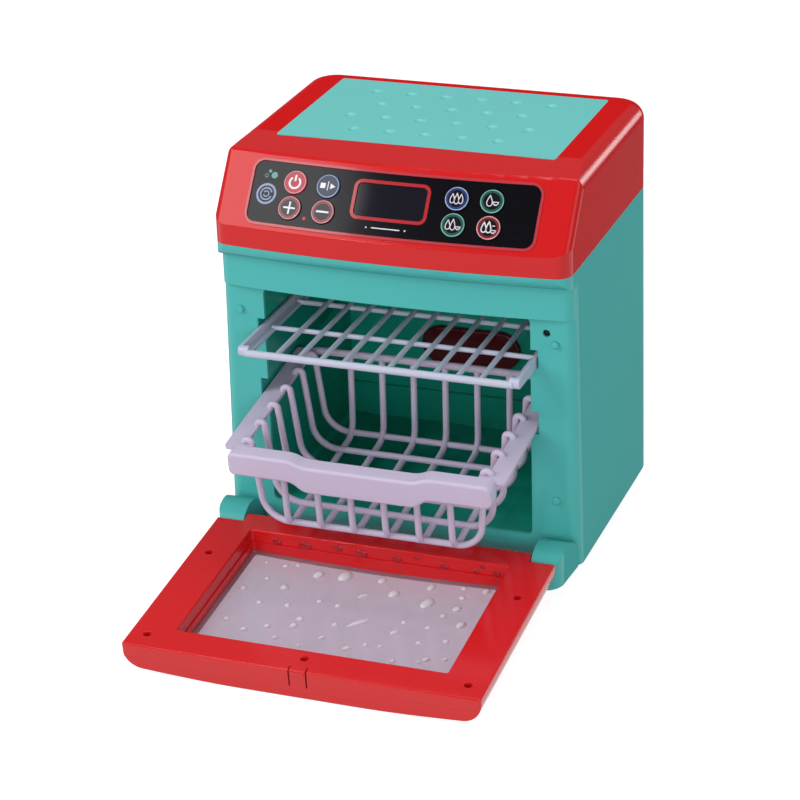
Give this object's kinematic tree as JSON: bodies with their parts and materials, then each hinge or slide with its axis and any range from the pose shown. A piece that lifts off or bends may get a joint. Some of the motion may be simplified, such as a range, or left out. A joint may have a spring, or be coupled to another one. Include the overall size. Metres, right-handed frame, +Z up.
{
  "type": "toy dishwasher",
  "caption": "Toy dishwasher with teal body, red top and drop-down door, a level wire shelf, a tilted wire basket and a black control panel with eight press buttons",
  "frame": {"origin": "on the floor plane, under the middle of the cabinet body", "axes": "+Z up, the front of the cabinet faces -Y, +X towards the right hand of a viewer who looks at the front"},
  "size_m": [0.248, 0.3704, 0.2795],
  "materials": {
    "teal": "gloss moulded plastic",
    "teal_dark": "gloss moulded plastic",
    "teal_light": "satin moulded plastic",
    "red": "high gloss moulded plastic",
    "lavender": "gloss moulded plastic",
    "black": "high gloss",
    "rim_pink": "translucent plastic",
    "ring_red": "gloss print",
    "lens_red": "translucent plastic",
    "clear": "clear plastic",
    "board": "printed board",
    "rubber": "matte",
    "rubber_grey": "matte",
    "steel": "plain",
    "cell": "printed film",
    "cap_red": "gloss",
    "cap_blue": "gloss",
    "cap_green": "gloss",
    "cap_dark": "gloss"
  },
  "bodies": {
    "cabinet": {"cabinet_shell": "teal", "tub_liner": "teal_dark", "interior_lamp_lens": "lens_red", "interior_lamp_board": "board", "top_housing": "red", "top_panel": "teal_light", "control_panel": "black", "panel_rim": "rim_pink", "display_frame": "ring_red", "display_window": "black", "display_module": "cell", "button_pad": "rubber_grey", "circuit_board": "board", "board_screws": "steel", "power_led": "lens_red", "speaker": "cell", "door_switch": "black", "base_plate": "teal", "base_screws": "steel", "feet": "rubber", "rear_cover": "teal", "rear_cover_screws": "steel", "battery_hatch": "teal", "battery_hatch_screw": "steel", "batteries": "cell", "battery_contacts": "steel", "hinge_pin_left": "steel", "hinge_pin_right": "steel"},
    "door": {"door_outer_shell": "red", "door_inner_frame": "red", "door_window": "clear", "door_screws": "steel"},
    "shelf": {"upper_shelf": "lavender"},
    "basket": {"lower_basket": "lavender", "basket_handle": "lavender"},
    "button_power_body": {"button_power": "cap_red"},
    "button_start_stop_body": {"button_start_stop": "cap_blue"},
    "button_plus_body": {"button_plus": "cap_dark"},
    "button_minus_body": {"button_minus": "cap_dark"},
    "button_rinse_body": {"button_rinse": "cap_blue"},
    "button_quick_body": {"button_quick": "cap_green"},
    "button_normal_body": {"button_normal": "cap_green"},
    "button_intense_body": {"button_intense": "cap_red"}
  },
  "joints": [
    {"name": "door_hinge", "type": "hinge", "parent": "cabinet", "child": "door", "pos_m": [0, -0.0996, 0.0199], "axis": [-1, 0, 0], "range_deg": [0, 95]},
    {"name": "shelf_slide", "type": "slide", "parent": "cabinet", "child": "shelf", "axis": [0, 1, 0], "range_m": [0, 0.0365]},
    {"name": "basket_slide", "type": "slide", "parent": "cabinet", "child": "basket", "axis": [0, 0.9925, 0.1219], "range_m": [0, 0.0777]},
    {"name": "button_power_press", "type": "slide", "parent": "cabinet", "child": "button_power_body", "axis": [0.0532, 0.7992, -0.5987], "range_m": [0, 0.0012], "stiffness_N_per_m": 150},
    {"name": "button_start_stop_press", "type": "slide", "parent": "cabinet", "child": "button_start_stop_body", "axis": [0.0348, 0.8002, -0.5987], "range_m": [0, 0.0012], "stiffness_N_per_m": 150},
    {"name": "button_plus_press", "type": "slide", "parent": "cabinet", "child": "button_plus_body", "axis": [0.0532, 0.7992, -0.5987], "range_m": [0, 0.0012], "stiffness_N_per_m": 150},
    {"name": "button_minus_press", "type": "slide", "parent": "cabinet", "child": "button_minus_body", "axis": [0.0348, 0.8002, -0.5987], "range_m": [0, 0.0012], "stiffness_N_per_m": 150},
    {"name": "button_rinse_press", "type": "slide", "parent": "cabinet", "child": "button_rinse_body", "axis": [-0.0348, 0.8002, -0.5987], "range_m": [0, 0.0012], "stiffness_N_per_m": 150},
    {"name": "button_quick_press", "type": "slide", "parent": "cabinet", "child": "button_quick_body", "axis": [-0.0531, 0.7992, -0.5987], "range_m": [0, 0.0012], "stiffness_N_per_m": 150},
    {"name": "button_normal_press", "type": "slide", "parent": "cabinet", "child": "button_normal_body", "axis": [-0.0348, 0.8002, -0.5987], "range_m": [0, 0.0012], "stiffness_N_per_m": 150},
    {"name": "button_intense_press", "type": "slide", "parent": "cabinet", "child": "button_intense_body", "axis": [-0.0531, 0.7992, -0.5987], "range_m": [0, 0.0012], "stiffness_N_per_m": 150}
  ],
  "couplings": [
    {"joint": "basket_slide", "follows": "door_hinge", "m_per_rad": 0.046857},
    {"joint": "shelf_slide", "follows": "door_hinge", "m_per_rad": 0.022011}
  ]
}
